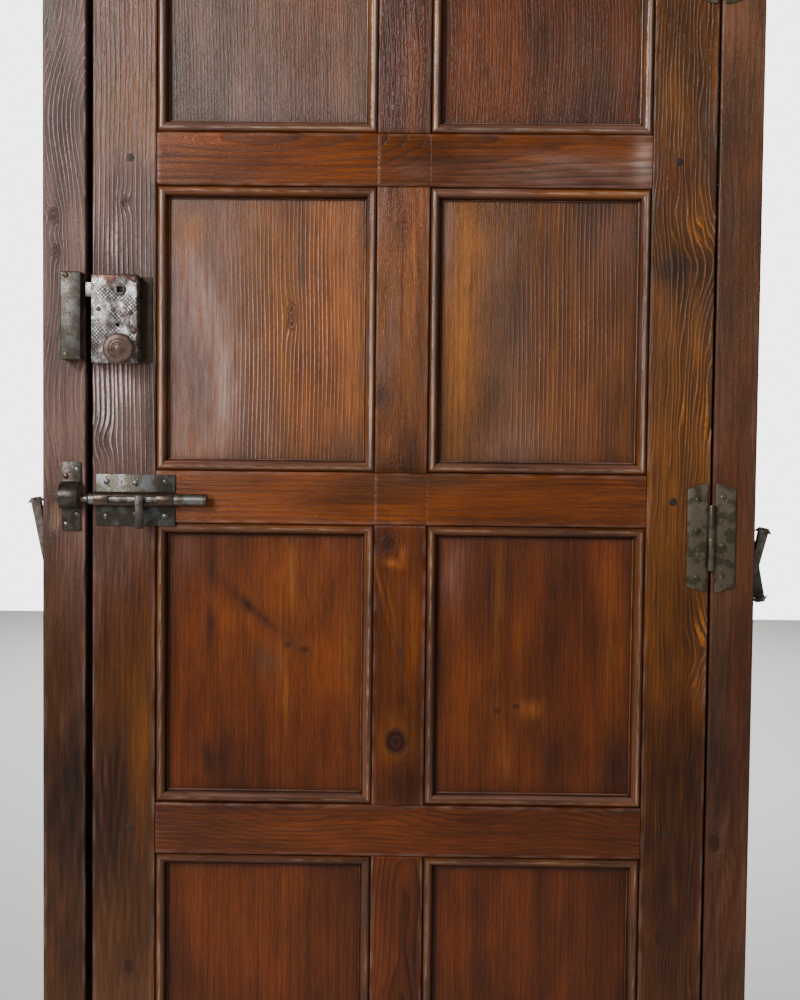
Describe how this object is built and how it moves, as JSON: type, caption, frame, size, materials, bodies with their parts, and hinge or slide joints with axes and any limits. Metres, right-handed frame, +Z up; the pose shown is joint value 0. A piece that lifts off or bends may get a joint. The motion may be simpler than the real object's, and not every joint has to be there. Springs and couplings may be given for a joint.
{
  "type": "panelled door in its frame",
  "caption": "Old varnished pine door leaf with recessed panels, hung in its frame on lift-off hinges, with a rim lock and a slide bolt.",
  "frame": {"origin": "on the floor line, under the middle of the leaf, in the plane of the leaf's front face", "axes": "+X from the lock side to the hinge side, +Y away from the room the leaf opens into, +Z up"},
  "size_m": [1.004, 0.1383, 2.051],
  "materials": {
    "leaf_wood": "glossy old varnish over softwood",
    "panel_wood": "glossy old varnish over softwood",
    "moulding_wood": "glossy old varnish, dark in the hollows",
    "frame_wood": "worn varnish over softwood",
    "old_iron": "dark forged and patinated iron",
    "grey_steel": "worn grey steel with brown stains",
    "bright_steel": "worn bright steel",
    "knob_finish": "worn brown finish"
  },
  "bodies": {
    "frame": {"jamb_left": "frame_wood", "jamb_right": "frame_wood", "frame_head": "frame_wood", "stop_left": "frame_wood", "stop_right": "frame_wood", "stop_head": "frame_wood", "spike_left": "old_iron", "spike_right_upper": "old_iron", "spike_right_lower": "old_iron", "lock_keeper": "grey_steel", "bolt_keeper": "grey_steel", "hinge_top_jamb_plate": "old_iron", "hinge_middle_jamb_plate": "old_iron", "hinge_bottom_jamb_plate": "old_iron", "hinge_top_pin": "bright_steel", "hinge_middle_pin": "bright_steel", "hinge_bottom_pin": "bright_steel"},
    "leaf": {"stile_lock": "leaf_wood", "stile_hinge": "leaf_wood", "rail_top": "leaf_wood", "rail_upper": "leaf_wood", "rail_middle": "leaf_wood", "rail_lower": "leaf_wood", "rail_bottom": "leaf_wood", "muntin_row1": "leaf_wood", "muntin_row2": "leaf_wood", "muntin_row3": "leaf_wood", "muntin_row4": "leaf_wood", "panel_row1_left": "panel_wood", "panel_row1_right": "panel_wood", "panel_row2_left": "panel_wood", "panel_row2_right": "panel_wood", "panel_row3_left": "panel_wood", "panel_row3_right": "panel_wood", "panel_row4_left": "panel_wood", "panel_row4_right": "panel_wood", "moulding_row1_left": "moulding_wood", "moulding_row1_right": "moulding_wood", "moulding_row2_left": "moulding_wood", "moulding_row2_right": "moulding_wood", "moulding_row3_left": "moulding_wood", "moulding_row3_right": "moulding_wood", "moulding_row4_left": "moulding_wood", "moulding_row4_right": "moulding_wood", "hinge_top_leaf_plate": "old_iron", "hinge_middle_leaf_plate": "old_iron", "hinge_bottom_leaf_plate": "old_iron", "lock_back_plate": "old_iron", "lock_case": "grey_steel", "bolt_plate": "grey_steel", "lock_screw_upper": "bright_steel", "lock_screw_lower": "bright_steel", "latch_spring": "bright_steel"},
    "slide_bolt": {"bolt_rod": "bright_steel", "bolt_handle": "grey_steel"},
    "hub": {"lock_hub": "bright_steel"},
    "latch": {"latch_bolt": "bright_steel"},
    "knob": {"lock_knob": "knob_finish", "knob_spindle": "bright_steel"},
    "dead_bolt": {"dead_bolt": "bright_steel"}
  },
  "joints": [
    {"name": "leaf_swing", "type": "hinge", "parent": "frame", "child": "leaf", "pos_m": [0.4015, -0.0049, 0.9945], "axis": [0, 0, 1], "range_deg": [0, 170]},
    {"name": "bolt_slide", "type": "slide", "parent": "leaf", "child": "slide_bolt", "axis": [-1, 0, 0], "range_m": [-0.0175, 0.037]},
    {"name": "hub_turn", "type": "hinge", "parent": "leaf", "child": "hub", "pos_m": [-0.3591, -0.027, 1.304], "axis": [0, -1, 0], "range_deg": [-45, 28]},
    {"name": "latch_slide", "type": "slide", "parent": "leaf", "child": "latch", "axis": [1, 0, 0], "range_m": [-0.0098, 0.0061], "stiffness_N_per_m": 60, "deforming": ["latch_spring"]},
    {"name": "knob_turn", "type": "hinge", "parent": "leaf", "child": "knob", "pos_m": [-0.3591, -0.027, 1.229], "axis": [0, -1, 0], "range_deg": [0, 90]},
    {"name": "dead_bolt_slide", "type": "slide", "parent": "leaf", "child": "dead_bolt", "axis": [-1, 0, 0], "range_m": [0, 0.0185]}
  ],
  "couplings": [
    {"joint": "hub_turn", "follows": "latch_slide", "rad_per_m": 79.365},
    {"joint": "dead_bolt_slide", "follows": "knob_turn", "m_per_rad": 0.01146}
  ]
}
